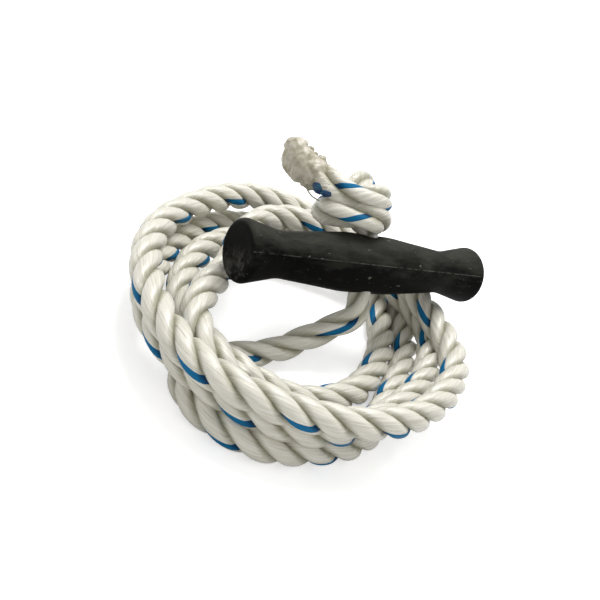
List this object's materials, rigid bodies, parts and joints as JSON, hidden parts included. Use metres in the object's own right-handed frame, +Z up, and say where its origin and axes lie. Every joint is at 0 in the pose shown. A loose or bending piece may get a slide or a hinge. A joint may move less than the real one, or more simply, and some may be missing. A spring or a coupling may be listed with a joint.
{
  "type": "tow rope handle",
  "caption": "Moulded pull grip with flared ends, threaded on a three-strand rope with a stopper knot and a loose coil.",
  "frame": {"origin": "centre of the grip", "axes": "+X along the grip, +Z up from the surface that the coil lies on; the rope's bore leans from +Z towards +Y"},
  "size_m": [0.1775, 0.167, 0.0913],
  "materials": {
    "grip_rubber": "matt black moulded rubber, slightly dusty",
    "rope": "ivory white three-strand laid rope with a blue tracer yarn"
  },
  "bodies": {
    "handle": {"grip": "grip_rubber", "rope_lead": "rope", "rope_coil": "rope"},
    "rope_shank": {"rope_through_grip": "rope"},
    "knotted_end": {"stopper_knot": "rope", "rope_tail": "rope"}
  },
  "joints": [
    {"name": "rope_slide", "type": "slide", "parent": "handle", "child": "rope_shank", "axis": [0, 0.5807, 0.8141], "range_m": [0, 0.018]},
    {"name": "rope_swivel", "type": "hinge", "parent": "rope_shank", "child": "knotted_end", "pos_m": [0, 0, 0], "axis": [0, 0.5807, 0.8141], "continuous": true}
  ]
}
